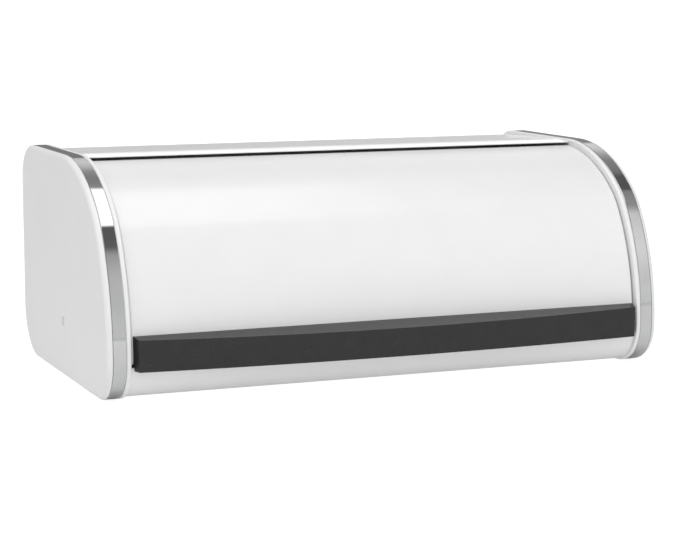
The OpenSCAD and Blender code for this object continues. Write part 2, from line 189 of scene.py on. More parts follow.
CROWN_R = TOP - PIVOT[1]
BROW = on_arc(PIVOT, CROWN_R - BROW_R, CROWN_TURN)
chest_dy = FRONT - BROW[0]
chest_dz = CHEST_Z - BROW[1]
CHEST_R = (BROW_R**2 - chest_dy**2 - chest_dz**2) / (2 * (chest_dy + BROW_R))
CHEST = (FRONT + CHEST_R, CHEST_Z)
BROW_TURN = math.degrees(math.atan2(CHEST[0] - BROW[0], BROW[1] - CHEST[1]))
FRONT_FOOT = (FRONT + FRONT_CORNER_R, LOW + FRONT_CORNER_R)
BACK_FOOT = (BACK - BACK_CORNER_R, LOW + BACK_CORNER_R)
BACK_TOP = (BACK - TOP_CORNER_R, TOP - TOP_CORNER_R)
LID_TURN = math.degrees(math.asin((PIVOT[0] - STRIP_FRONT + TOP_GAP) / (CROWN_R - LID_INSET)))


def front_line(d, start=0):
    """The top and front of the ends at a depth d, from a turn down to the chest's upright."""
    return (
        arc(PIVOT, CROWN_R - d, start, CROWN_TURN)
        + arc(BROW, BROW_R - d, CROWN_TURN, BROW_TURN)[1:]
        + arc(CHEST, CHEST_R - d, BROW_TURN, 90)[1:]
    )


def rim(d):
    """The whole outline of the ends at a depth d, starting at the front end of the flat base."""
    return (
        arc(FRONT_FOOT, FRONT_CORNER_R - d, 180, 90, CORNER_STEP)
        + front_line(d)[::-1]
        + arc(BACK_TOP, TOP_CORNER_R - d, 0, -90, CORNER_STEP)
        + arc(BACK_FOOT, BACK_CORNER_R - d, -90, -180, CORNER_STEP)
    )


def direction_loop(radius):
    """A circle round the pivot, with a point in the direction of each point of the rim."""
    loop = []
    for y, z in rim(0):
        away = Vector((y - PIVOT[0], z - PIVOT[1])).normalized() * radius
        loop.append((PIVOT[0] + away.x, PIVOT[1] + away.y))
    return loop


def along(a, b, share):
    """The point at a share of the way from a to b."""
    return a[0] + (b[0] - a[0]) * share, a[1] + (b[1] - a[1]) * share


def between(a, b, share):
    """The loop at a share of the way from loop a to loop b."""
    return [along(p, q, share) for p, q in zip(a, b)]


def lid_at(s):
    """The lid's outer surface at a length s from its top edge: a point and the outward turn."""
    for centre, radius, start, end in LID_ARCS:
        length = radius * math.radians(end - start)
        if s <= length:
            turn = start + (end - start) * s / length
            return on_arc(centre, radius, turn), turn
        s -= length
    return (FRONT + LID_INSET, CHEST_Z - s), 90


LID_ARCS = [
    (PIVOT, CROWN_R - LID_INSET, LID_TURN, CROWN_TURN),
    (BROW, BROW_R - LID_INSET, CROWN_TURN, BROW_TURN),
    (CHEST, CHEST_R - LID_INSET, BROW_TURN, 90),
]
LID_LENGTH = sum(r * math.radians(b - a) for _, r, a, b in LID_ARCS) + CHEST_Z - lid_low.z


def rim_point(d, turn):
    """A point at a depth d below the front line, at a turn."""
    for centre, radius, end in ((PIVOT, CROWN_R, CROWN_TURN), (BROW, BROW_R, BROW_TURN)):
        if turn < end:
            return on_arc(centre, radius - d, turn)
    return on_arc(CHEST, CHEST_R - d, turn)


def thicken(path, t):
    """The two sides of a sheet of thickness t whose middle follows a path: left and right of it."""
    sides = ([], [])
    for i, point in enumerate(path):
        before = path[max(i - 1, 0)]
        after = path[min(i + 1, len(path) - 1)]
        ahead = Vector((after[0] - before[0], after[1] - before[1])).normalized() * t / 2
        for side, sign in zip(sides, (1, -1)):
            side.append((point[0] - sign * ahead.y, point[1] + sign * ahead.x))
    return sides


# ---- materials -----------------------------------------------------------------------------


def grey(tone, blue=None):
    """A neutral colour, or one whose blue differs a little."""
    return tone, tone, tone if blue is None else blue


def material(name, base, roughness, metallic=0.0, specular=0.5):
    """A new material with its Principled shader, its node tree and a position in metres."""
    made = bpy.data.materials.new(name)
    made.use_nodes = True
    tree = made.node_tree
    shader = tree.nodes["Principled BSDF"]
    shader.inputs["Base Color"].default_value = (*base, 1)
    shader.inputs["Roughness"].default_value = roughness
    shader.inputs["Metallic"].default_value = metallic
    shader.inputs["Specular IOR Level"].default_value = specular
    place = tree.nodes.new("ShaderNodeTexCoord").outputs["Object"]
    return made, tree, shader, place


def noise(tree, place, scale, detail=2.0, stretch=None):
    """A noise pattern with so many features to the metre, drawn out along an axis if asked."""
    if stretch:
        mapping = tree.nodes.new("ShaderNodeMapping")
        mapping.inputs["Scale"].default_value = stretch
        tree.links.new(place, mapping.inputs["Vector"])
        place = mapping.outputs["Vector"]
    node = tree.nodes.new("ShaderNodeTexNoise")
    node.inputs["Scale"].default_value = scale
    node.inputs["Detail"].default_value = detail
    tree.links.new(place, node.inputs["Vector"])
    return node.outputs["Fac"]


def vary_colour(tree, shader, pattern, dark, light):
    """The base colour runs from dark to light over a pattern."""
    ramp = tree.nodes.new("ShaderNodeValToRGB")
    ramp.color_ramp.elements[0].position = 0.3
    ramp.color_ramp.elements[1].position = 0.7
    ramp.color_ramp.elements[0].color = (*dark, 1)
    ramp.color_ramp.elements[1].color = (*light, 1)
    tree.links.new(pattern, ramp.inputs["Fac"])
    tree.links.new(ramp.outputs["Color"], shader.inputs["Base Color"])


def vary_roughness(tree, shader, pattern, low, high):
    """The roughness runs from low to high over a pattern."""
    spread = tree.nodes.new("ShaderNodeMapRange")
    spread.inputs["To Min"].default_value = low
    spread.inputs["To Max"].default_value = high
    tree.links.new(pattern, spread.inputs["Value"])
    tree.links.new(spread.outputs["Result"], shader.inputs["Roughness"])


def bump(tree, shader, pattern, depth, before=None):
    """A relief of a depth in metres, on top of the one before."""
    node = tree.nodes.new("ShaderNodeBump")
    node.inputs["Distance"].default_value = depth
    node.inputs["Strength"].default_value = 1.0
    tree.links.new(pattern, node.inputs["Height"])
    if before:
        tree.links.new(before, node.inputs["Normal"])
    tree.links.new(node.outputs["Normal"], shader.inputs["Normal"])
    return node.outputs["Normal"]


def white_enamel():
    """Satin powder coat on steel, with its faint orange peel under a smoother gloss."""
    made, tree, shader, place = material("white_enamel", grey(0.82), 0.36)
    vary_colour(tree, shader, noise(tree, place, 35, 3), grey(0.812), grey(0.828))
    vary_roughness(tree, shader, noise(tree, place, 260, 3), 0.33, 0.40)
    peel = bump(tree, shader, noise(tree, place, 750, 2), 0.004 * MM)
    bump(tree, shader, noise(tree, place, 3200, 1), 0.001 * MM, before=peel)
    shader.inputs["Coat Weight"].default_value = 0.7
    shader.inputs["Coat Roughness"].default_value = 0.14
    return made


def moulded_white(name, tone):
    """Moulded white plastic with a fine spark-eroded surface."""
    made, tree, shader, place = material(name, grey(tone), 0.42)
    light = tone + 0.008
    dark = tone - 0.008
    vary_colour(tree, shader, noise(tree, place, 22, 3), grey(dark), grey(light, light * 1.002))
    vary_roughness(tree, shader, noise(tree, place, 420, 2), 0.38, 0.47)
    bump(tree, shader, noise(tree, place, 2600, 2), 0.004 * MM)
    return made


def bright_band():
    """Polished stainless strip with hair-fine lines along it."""
    made, tree, shader, place = material("bright_band", (0.66, 0.665, 0.67), 0.07, metallic=1.0)
    lines = noise(tree, place, 6, 3, stretch=(900, 1, 1))
    vary_roughness(tree, shader, lines, 0.05, 0.10)
    vary_colour(tree, shader, noise(tree, place, 60, 2), (0.64, 0.645, 0.652), (0.68, 0.683, 0.687))
    bump(tree, shader, lines, 0.0008 * MM)
    return made


def black_grip():
    """Satin black plastic with a fine grain."""
    made, tree, shader, place = material("black_grip", grey(0.013, 0.014), 0.3)
    vary_colour(tree, shader, noise(tree, place, 90, 4), grey(0.011, 0.012), grey(0.015, 0.016))
    vary_roughness(tree, shader, noise(tree, place, 700, 3), 0.24, 0.34)
    bump(tree, shader, noise(tree, place, 1500, 3), 0.008 * MM)
    return made


def steel_hardware():
    """Zinc-plated steel, a little cloudy."""
    made, tree, shader, place = material("steel_hardware", (0.6, 0.61, 0.62), 0.34, metallic=1.0)
    vary_colour(tree, shader, noise(tree, place, 380, 4), (0.50, 0.51, 0.53), (0.68, 0.68, 0.66))
    vary_roughness(tree, shader, noise(tree, place, 900, 3), 0.26, 0.44)
    bump(tree, shader, noise(tree, place, 2400, 3), 0.006 * MM)
    return made


def grey_bush():
    """Turned acetal."""
    made, tree, shader, place = material("grey_bush", (0.45, 0.46, 0.47), 0.45)
    vary_colour(tree, shader, noise(tree, place, 160, 2), (0.43, 0.44, 0.45), (0.47, 0.48, 0.49))
    rings = noise(tree, place, 5, 1, stretch=(700, 1, 1))
    vary_roughness(tree, shader, rings, 0.38, 0.52)
    bump(tree, shader, rings, 0.004 * MM)
    return made


def grey_rubber():
    """Soft dark rubber with a dusty, pitted skin."""
    made, tree, shader, place = material("grey_rubber", grey(0.11, 0.112), 0.75, specular=0.35)
    vary_colour(tree, shader, noise(tree, place, 240, 4), grey(0.085, 0.087), grey(0.14, 0.142))
    vary_roughness(tree, shader, noise(tree, place, 900, 3), 0.66, 0.86)
    bump(tree, shader, noise(tree, place, 1500, 4), 0.02 * MM)
    return made


MATERIALS = {
    "white_enamel": white_enamel(),
    "white_cover": moulded_white("white_cover", 0.79),
    "white_frame": moulded_white("white_frame", 0.82),
    "bright_band": bright_band(),
    "black_grip": black_grip(),
    "steel_hardware": steel_hardware(),
    "grey_bush": grey_bush(),
    "grey_rubber": grey_rubber(),
}

# ---- mesh helpers --------------------------------------------------------------------------


def skin(bm, loops, close_path=False, close_loop=True):
    """Faces between neighbouring loops of points that all have the same count."""
    rows = [[bm.verts.new(p) for p in loop] for loop in loops]
    pairs = list(zip(rows, rows[1:]))
    if close_path:
        pairs.append((rows[-1], rows[0]))
    n = len(rows[0])
    for a, b in pairs:
        for i in range(n if close_loop else n - 1):
            j = (i + 1) % n
            bm.faces.new((a[i], a[j], b[j], b[i]))
    return rows


def cap(bm, rows):
    """Closes the first and the last of a skin's loops with a face each."""
    bm.faces.new(rows[0])
    bm.faces.new(rows[-1])


def piece(name, bm, body, slot, nodes, side=1, rounding=0.0, sharp=40, outward=None):
    """Makes an object of a mesh built for the right-hand end, mirrored when side is -1."""
    if side < 0:
        bmesh.ops.scale(bm, vec=(-1, 1, 1), verts=bm.verts)
    bmesh.ops.recalc_face_normals(bm, faces=bm.faces)
    bm.faces.ensure_lookup_table()
    if outward:
        face = max(bm.faces, key=lambda f: f.calc_center_median().dot(outward))
        if face.normal.dot(outward) < 0:
            bmesh.ops.reverse_faces(bm, faces=bm.faces)
    mesh = bpy.data.meshes.new(name)
    bm.to_mesh(mesh)
    bm.free()
    mesh.shade_smooth()
    obj = bpy.data.objects.new(name, mesh)
    bpy.context.scene.collection.objects.link(obj)
    obj.data.materials.append(MATERIALS[slot])
    if rounding:
        bevel = obj.modifiers.new("rounded_edges", "BEVEL")
        bevel.width = rounding
        bevel.segments = 3
        bevel.limit_method = "ANGLE"
        bevel.angle_limit = math.radians(sharp)
    else:
        mesh.set_sharp_from_angle(angle=math.radians(sharp))
    weighted = obj.modifiers.new("flat_faces_flat", "WEIGHTED_NORMAL")
    weighted.keep_sharp = True
    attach(obj, body)
    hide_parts(*nodes)
    return obj


def at_x(x, loop):
    """A (y, z) loop as points in space, at one x."""
    return [(x, y, z) for y, z in loop]


def quarter(n, start=0.0, end=90.0):
    """Sines and cosines of the steps of a rounded edge."""
    turns = [math.radians(start + (end - start) * i / n) for i in range(n + 1)]
    return [(math.sin(a), math.cos(a)) for a in turns]


def turned(bm, profile, centre=PIVOT, segments=40, close=True):
    """A turned form about an axis along X. The profile is a list of (x, radius)."""
    loops = []
    for x, radius in profile:
        loops.append(
            [
                (x, centre[0] + radius * math.cos(a), centre[1] + radius * math.sin(a))
                for a in (math.tau * i / segments for i in range(segments))
            ]
        )
    rows = skin(bm, loops, close_path=close)
    if not close:
        cap(bm, rows)


def soft_ring(x0, x1, inner, outer, edge):
    """The profile of a ring along X with a small chamfer on its four edges."""
    return [
        (x0, inner + edge), (x0, outer - edge), (x0 + edge, outer), (x1 - edge, outer),
        (x1, outer - edge), (x1, inner + edge), (x1 - edge, inner), (x0 + edge, inner),
    ]


def plate(bm, outline, x0, x1):
    """A flat plate of an outline between two planes across X."""
    cap(bm, skin(bm, [at_x(x0, outline), at_x(x1, outline)]))


def sheet_along_x(bm, path, t, xs):
    """Bent sheet: its middle follows a (y, z) path, and it runs along X."""
    left, right = thicken(path, t)
    rows = skin(bm, [at_x(x, left + right[::-1]) for x in xs])
    n = len(path)
    for row in (rows[0], rows[-1]):
        for i in range(n - 1):
            bm.faces.new((row[i], row[i + 1], row[2 * n - 2 - i], row[2 * n - 1 - i]))


def even(low, high, n):
    """Evenly spaced values from low to high, in n steps."""
    return [low + (high - low) * i / n for i in range(n + 1)]


# ---- the fixed body ------------------------------------------------------------------------


def shell_path():
    """The middle of the shell's sheet, from the top's front edge round to the hem of the lip."""
    half = SHEET_T / 2
    turn_r = (SHEET_T + HEM_GAP) / 2
    back = BACK - SHELL_INSET
    front_r = FRONT_CORNER_R - SHELL_INSET
    back_r = BACK_CORNER_R - SHELL_INSET
    top_r = TOP_CORNER_R - SHELL_INSET
    floor = shell_low.z
    top = TOP - SHELL_INSET
    ridge = (RIDGE_AT, shell_high.z)
    edge = (STRIP_FRONT, TOP - STRIP_INSET)
    roof_r = ((ridge[0] - edge[0])**2 + (ridge[1] - edge[1])**2) / (2 * (ridge[1] - edge[1]))
    roof = (ridge[0], ridge[1] - roof_r)
    roof_turn = math.degrees(math.asin((ridge[0] - edge[0]) / roof_r))
    fall = math.degrees(math.atan2(ridge[1] - top, back - top_r - ridge[0]))
    crown_back = on_arc((back - top_r, top - top_r), top_r, -fall)
    foot = (FRONT + SHELL_INSET + front_r, floor + front_r)
    lip_turn = -270 + math.degrees(math.asin((foot[1] - LIP_TOP) / front_r))
    hem_turn = math.degrees(HEM_L / front_r)
    hem = on_arc(foot, front_r - half - turn_r, lip_turn)
    return (
        arc(roof, roof_r - half, roof_turn, 0, 1)
        + [(y, z - half) for y, z in (along(ridge, crown_back, f) for f in even(0.04, 0.96, 6))]
        + arc((back - top_r, top - top_r), top_r - half, -fall, -90, CORNER_STEP)
        + [(back - half, z) for z in even(top - top_r - 4 * MM, floor + back_r + 4 * MM, 6)]
        + arc((back - back_r, floor + back_r), back_r - half, -90, -180, CORNER_STEP)
        + [(y, floor + half) for y in even(back - back_r - 4 * MM, foot[0] + 4 * MM, 10)]
        + arc(foot, front_r - half, -180, lip_turn, CORNER_STEP)
        + arc(hem, turn_r, lip_turn, lip_turn - 180, 18)[1:]
        + arc(foot, front_r - half - 2 * turn_r, lip_turn + 2, lip_turn + hem_turn, CORNER_STEP)
    )


def tab_outline(at):
    """One of the shell's screw tabs: square, with its free corners rounded off."""
    half = 9 * MM
    corner = 3 * MM
    skin_in = SHEET_T / 2
    y0 = max(at[0] - half, FRONT + SHELL_INSET + skin_in)
    y1 = min(at[0] + half, BACK - SHELL_INSET - skin_in)
    z0 = max(at[1] - half, shell_low.z + skin_in)
    z1 = min(at[1] + half, shell_high.z - skin_in)
    outline = []
    for y, z, turn in ((y0, z1, 90), (y0, z0, 180), (y1, z0, 270), (y1, z1, 360)):
        free_y = abs(abs(y - at[0]) - half) < MM / 10
        free_z = abs(abs(z - at[1]) - half) < MM / 10
        if free_y and free_z:
            centre = (y + math.copysign(corner, at[0] - y), z + math.copysign(corner, at[1] - z))
            outline += arc(centre, corner, turn - 90, turn, 15)
        else:
            outline.append((y, z))
    return outline


def body_shell():
    """The bent sheet from the top strip round the back and the floor to the lip, and its tabs."""
    bm = bmesh.new()
    sheet_along_x(bm, shell_path(), SHEET_T, even(-FRAME_X, FRAME_X, 18))
    for sign in (-1, 1):
        for point in SHELL_POINTS:
            edges = sorted((sign * FRAME_X, sign * (FRAME_X - SHEET_T)))
            plate(bm, tab_outline(point), *edges)
    piece("body_shell_sheet", bm, BODY, "white_enamel", ["body_shell"])


def side_frame(side, sign):
    """The end wall with its rounded ring, the shoulder under the band, the foot and the boss."""
    ring_round = 0.9 * MM
    ring_edge = 0.3 * MM
    ring_x = BAND_X - BAND_GROOVE
    seat_r = 4.05 * MM
    boss_r = 9 * MM
    boss_edge = 0.4 * MM
    wall_rim = rim(6 * MM)
    inner = BAND_T + SHOULDER_T

    loops = [
        at_x(FRAME_X, direction_loop(seat_r)),
        at_x(FRAME_X, direction_loop(boss_r * 1.5)),
        at_x(FRAME_X, between(direction_loop(boss_r * 1.5), wall_rim, 0.5)),
        at_x(FRAME_X, wall_rim),
        at_x(FRAME_X, rim(ring_round + 0.4 * MM)),
    ]
    loops += [
        at_x(FRAME_X + ring_round * (1 - c), rim(ring_round * (1 - s))) for s, c in quarter(6)
    ]
    loops += [at_x(ring_x - ring_edge * c, rim(ring_edge * (1 - c))) for c in (1.0, 0.5, 0.0)]
    loops += [
        at_x(ring_x, rim(BAND_T)),
        at_x(BAND_X, rim(BAND_T)),
        at_x(COVER_X, rim(BAND_T)),
        at_x(COVER_X, rim(inner)),
        at_x(BAND_X, rim(inner)),
        at_x(BAND_X, direction_loop(boss_r * 1.2)),
        at_x(BAND_X, direction_loop(boss_r)),
        at_x(BOSS_X - boss_edge, direction_loop(boss_r)),
        at_x(BOSS_X, direction_loop(boss_r - boss_edge)),
        at_x(BOSS_X, direction_loop(seat_r)),
    ]
    bm = bmesh.new()
    skin(bm, loops, close_path=True)
    foot(bm)
    piece(f"side_frame_{side}_moulding", bm, BODY, "white_frame", [f"side_frame_{side}"], sign)


def foot(bm):
    """The foot block, which fills the gap between the ends of the bright band underneath."""
    top = LOW + BAND_T + SHOULDER_T / 2
    outline = [(FOOT_FROM, LOW), (FOOT_TO, LOW), (FOOT_TO, top), (FOOT_FROM, top)]
    plate(bm, outline, BAND_X, COVER_X)


def end_cover(side, sign):
    """The moulded cap: a flat face with a hole for the plug, a rounded edge and a thin wall."""
    hole_r = PLUG_R + PLUG_GAP
    lead_in = 0.5 * MM
    inside_x = FACE_X - COVER_T
    inside_round = MM
    tube_r = PLUG_R + 2 * MM
    tube_x = inside_x - 1.2 * MM
    face_rim = rim(COVER_ROUND)
    loops = [at_x(tube_x, direction_loop(hole_r)), at_x(FACE_X - lead_in, direction_loop(hole_r))]
    loops += [
        at_x(FACE_X - lead_in * (1 - s), direction_loop(hole_r + lead_in * (1 - c)))
        for s, c in quarter(3)
    ]
    hole_edge = direction_loop(hole_r + lead_in)
    loops += [at_x(FACE_X, between(hole_edge, face_rim, f)) for f in (0.04, 0.3, 0.65, 0.96)]
    loops += [
        at_x(COVER_X + COVER_ROUND * c, rim(COVER_ROUND * (1 - s))) for s, c in quarter(10, 0, 85)
    ]
    loops += [
        at_x(COVER_X + BAND_GROOVE, rim(BAND_T)),
        at_x(COVER_X + BAND_GROOVE, rim(COVER_WALL)),
        at_x(inside_x - inside_round, rim(COVER_WALL)),
        at_x(inside_x, rim(COVER_WALL + inside_round)),
        at_x(inside_x, direction_loop(tube_r)),
        at_x(tube_x, direction_loop(tube_r)),
    ]
    bm = bmesh.new()
    skin(bm, loops, close_path=True)
    piece(f"end_cover_{side}_cap", bm, BODY, "white_cover", [f"end_cover_{side}"], sign)


def bright_band_strip(side, sign):
    """The polished strip, bent round the end from one side of the foot to the other."""
    edge = 0.35 * MM

    def strip_line(d):
        return [(FOOT_FROM, LOW + d)] + rim(d) + [(FOOT_TO, LOW + d)]

    section = [(BAND_X + edge * (1 - c), edge * (1 - s)) for s, c in quarter(3)]
    section += [(COVER_X - edge * (1 - c), edge * (1 - s)) for s, c in quarter(3, 90, 0)]
    section += [(COVER_X, BAND_T), (BAND_X, BAND_T)]
    lines = [at_x(x, strip_line(d)) for x, d in section]
    bm = bmesh.new()
    rows = skin(bm, lines, close_path=True, close_loop=False)
    for end in (0, -1):
        bm.faces.new([row[end] for row in rows])
    piece(f"bright_band_{side}_strip", bm, BODY, "bright_band", [f"bright_band_{side}"], sign)


def pivot_pin(side, sign):
    """The steel pin: its shank, the neck in the boss, and a head with a turned recess."""
    tip_x = HUB_IN - 0.5 * MM
    head_x = BOSS_X + 2.5 * MM
    neck_r = 4 * MM
    head_r = 7 * MM
    edge = 0.4 * MM
    profile = [(tip_x, PIN_R - edge), (tip_x + edge, PIN_R), (FRAME_X, PIN_R), (FRAME_X, neck_r)]
    profile += [(BOSS_X, neck_r), (BOSS_X, head_r - edge), (BOSS_X + edge, head_r)]
    profile += [(head_x - edge, head_r), (head_x, head_r - edge)]
    profile += [(head_x, 2.6 * MM), (head_x - 1.5 * MM, 2.4 * MM)]
    bm = bmesh.new()
    turned(bm, profile, close=False)
    piece(f"pivot_pin_{side}_steel", bm, BODY, "steel_hardware", [f"pivot_pin_{side}"], sign)


def pivot_plug(side, sign):
    """The plug in the cover's hole: a cup with a dished face and a blind hole in its middle."""
    face_x = FACE_X - PLUG_SINK
    back_x = FACE_X - COVER_T - MM
    inner_r = PLUG_R - 1.5 * MM
    edge = 0.4 * MM
    hole_r = 0.2 * PLUG_R
    hole_x = face_x - 0.65 * MM
    inside_x = face_x - 1.2 * MM
    disc_x = face_x - 1.1 * MM
    disc_r = 0.21 * PLUG_R
    dish = [(0, 0.88), (0.4, 0.8), (0.6, 0.45)]
    profile = [(back_x, inner_r), (back_x, PLUG_R - edge), (back_x + edge, PLUG_R)]
    profile += [(face_x - edge * (1 - s), PLUG_R - edge * (1 - c)) for s, c in quarter(3)]
    profile += [(face_x - depth * MM, PLUG_R * share) for depth, share in dish]
    profile += [(hole_x, hole_r), (inside_x, hole_r), (inside_x, inner_r)]
    bm = bmesh.new()
    turned(bm, profile)
    turned(bm, [(disc_x, disc_r), (hole_x, disc_r)], close=False)
    piece(f"pivot_plug_{side}_cap", bm, BODY, "white_frame", [f"pivot_plug_{side}"], sign)


def pivot_washer(side, sign):
    """The steel ring between the hub and the end wall."""
    bm = bmesh.new()
    ring = soft_ring(FRAME_X - MM, FRAME_X, PIN_R + 0.1 * MM, 9 * MM, 0.15 * MM)
    turned(bm, ring, segments=56)
    piece(f"pivot_washer_{side}_ring", bm, BODY, "steel_hardware", [f"pivot_washer_{side}"], sign)


def pivot_bush(side, sign):
    """The turned sleeve in the hub, which runs on the pin."""
    bm = bmesh.new()
    turned(bm, soft_ring(HUB_IN, HUB_OUT, PIN_R + 0.05 * MM, BUSH_R, 0.3 * MM), segments=56)
    piece(f"pivot_bush_{side}_sleeve", bm, LID, "grey_bush", [f"pivot_bush_{side}"], sign)


def stop_buffer(side, sign, node):
    """A rubber buffer: a domed button with a waist, on a stem through the side frame."""
    low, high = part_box(f"{node}_right")
    centre = ((low.y + high.y) / 2, (low.z + high.z) / 2)
    radius = (high.z - low.z) / 2
    flat = 0.35 * radius
    waist = 0.93 * radius
    stem = 2 * MM
    dome = 0.8 * MM
    profile = [(low.x, flat)]
    profile += [(low.x + dome * (1 - c), flat + (radius - flat) * s) for s, c in quarter(6)]
    profile += [(FRAME_X - 0.9 * MM, radius), (FRAME_X - 0.5 * MM, waist), (FRAME_X, waist)]
    profile += [(FRAME_X, stem), (BAND_X, stem)]
    bm = bmesh.new()
    turned(bm, profile, centre=centre, close=False)
    piece(f"{node}_{side}_buffer", bm, BODY, "grey_rubber", [f"{node}_{side}"], sign, sharp=50)


def foot_pads(side, sign):
    """Two rubber pads with round corners and a softened lower edge."""
    low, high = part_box("foot_pads_right")
    length = 26 * MM
    corner = 1.6 * MM
    edge = 0.4 * MM
    x0 = low.x + corner
    x1 = high.x - corner
    levels = [(high.z, 0), (low.z + edge, 0), (low.z + edge / 4, edge / 4), (low.z, edge)]
    bm = bmesh.new()
    for start in (low.y, high.y - length):
        y0 = start + corner
        y1 = start + length - corner
        loops = []
        for z, shrink in levels:
            reach = corner - shrink
            loop = []
            for x, y, first in ((x1, y0, -90), (x1, y1, 0), (x0, y1, 90), (x0, y0, 180)):
                for turn in even(first, first + 90, 6):
                    a = math.radians(turn)
                    loop.append((x + reach * math.cos(a), y + reach * math.sin(a), z))
            loops.append(loop)
        cap(bm, skin(bm, loops))
    piece(f"foot_pads_{side}_rubber", bm, BODY, "grey_rubber", [f"foot_pads_{side}"], sign)


# ---- screws --------------------------------------------------------------------------------


def carved(mesh, cutter):
    """The mesh with the cutter's form taken out of it."""
    objects = [bpy.data.objects.new("whole", mesh), bpy.data.objects.new("cutter", cutter)]
    for obj in objects:
        bpy.context.scene.collection.objects.link(obj)
    cut = objects[0].modifiers.new("cut", "BOOLEAN")
    cut.object = objects[1]
    cut.operation = "DIFFERENCE"
    cut.solver = "EXACT"
    bpy.context.view_layer.update()
    evaluated = objects[0].evaluated_get(bpy.context.evaluated_depsgraph_get())
    made = bpy.data.meshes.new_from_object(evaluated)
    for obj in objects:
        bpy.data.objects.remove(obj)
    return made


def as_mesh(bm):
    """A closed form as a mesh of its own, with its faces turned outwards."""
    bmesh.ops.recalc_face_normals(bm, faces=bm.faces)
    mesh = bpy.data.meshes.new("form")
    bm.to_mesh(mesh)
    bm.free()
    return mesh


def recess_arm(turn):
    """One tapered bar of a screw's cross recess, pointing along +X from just before the origin."""
    bm = bmesh.new()
    arm = 0.45 * MM
    reach = 1.75 * MM
    rotation = Matrix.Rotation(math.radians(turn), 4, "X")
    loops = []
    for x, shrink in ((-0.6 * MM, 1.15), (0, 1.0), (1.25 * MM, 0.55)):
        wide = reach * shrink
        high = arm * (0.6 + 0.4 * shrink)
        corners = ((-wide, -high), (wide, -high), (wide, high), (-wide, high))
        loops.append([rotation @ Vector((x, y, z)) for y, z in corners])
    cap(bm, skin(bm, loops))
    return as_mesh(bm)


def screw_form(profile):
    """A turned screw with a cross recess at x = 0, its shank along +X."""
    bm = bmesh.new()
    turned(bm, profile, centre=(0, 0), segments=28, close=False)
    mesh = as_mesh(bm)
    for turn in (0, 90):
        mesh = carved(mesh, recess_arm(turn))
    return mesh


def shank(x0, x1):
    """A coarse thread, as rings along the shank, down to a blunt point."""
    n = int((x1 - x0) / PITCH)
    profile = []
    for i in range(n):
        x = x0 + i * PITCH
        profile += [(x, CORE_R), (x + 0.4 * PITCH, SCREW_R)]
    return profile + [(x1, SCREW_R * 0.3)]


def pan_profile(length):
    """A screw with a domed head."""
    flat = 0.45 * HEAD_R
    profile = [(0, flat)]
    profile += [(0.75 * HEAD_T * (1 - c), flat + (HEAD_R - flat) * s) for s, c in quarter(5)][1:]
    profile += [(HEAD_T, HEAD_R), (HEAD_T, CORE_R)]
    return profile + shank(HEAD_T + 0.2 * MM, length)


def flat_profile(length):
    """A screw with a countersunk head."""
    return [(0.05 * MM, HEAD_R - 0.15 * MM), (0.2 * MM, HEAD_R)] + shank(HEAD_T, length)


def add_moved(bm, form, matrix):
    """Adds a mesh to another one, moved by a matrix."""
    before = set(bm.verts)
    bm.from_mesh(form)
    fresh = [v for v in bm.verts if v not in before]
    bmesh.ops.transform(bm, matrix=matrix, verts=fresh)


def screws(name, nodes, places, form, body, sign=1, steer=Matrix.Identity(4)):
    """A group of screws in one piece: places are the points of their heads."""
    bm = bmesh.new()
    for index, place in enumerate(places):
        spin = Matrix.Rotation(math.radians(SPIN_FIRST + SPIN_STEP * index), 4, "X")
        add_moved(bm, form, Matrix.Translation(place) @ steer @ spin)
    piece(name, bm, body, "steel_hardware", nodes, sign, sharp=30)


def all_screws():
    """The screws of the covers, the shell's tabs, the cheeks and the grip."""
    cover = screw_form(flat_profile(BAND_X + 9 * MM - FRAME_X))
    shell = screw_form(pan_profile(BAND_X + 5 * MM - FRAME_X + SHEET_T + HEAD_T))
    cheek = screw_form(pan_profile(LID_X - CHEEK_X + HEAD_T))
    grip_seat = CHEST[0] - math.sqrt(
        (CHEST_R - LID_INSET - SHEET_T) ** 2 - (GRIP_SCREW_Z + HEAD_R - CHEST_Z) ** 2
    )
    grip = screw_form(pan_profile(HEAD_T + 7.4 * MM))
    for side, sign in ENDS:
        places = [(FRAME_X, *p) for p in COVER_POINTS]
        screws(f"cover_screws_{side}_set", [f"cover_screws_{side}"], places, cover, BODY, sign)
        places = [(FRAME_X - SHEET_T - HEAD_T, *p) for p in SHELL_POINTS]
        screws(f"shell_screws_{side}_set", [f"shell_screws_{side}"], places, shell, BODY, sign)
        places = [(CHEEK_X - HEAD_T, *rim_point(LID_INSET + LID_FOLD / 2, t)) for t in CHEEK_TURNS]
        screws(f"cheek_screws_{side}_set", [f"cheek_screws_{side}"], places, cheek, LID, sign)
    places = [(x, grip_seat + HEAD_T, GRIP_SCREW_Z) for x in GRIP_SCREWS]
    screws("grip_screws_set", ["grip_screws"], places, grip, LID, steer=TO_FRONT)


# ---- the lid -------------------------------------------------------------------------------

OUTWARD = Vector((0, -1, 0.3))     # the way that the outer faces of the lid and the grip look


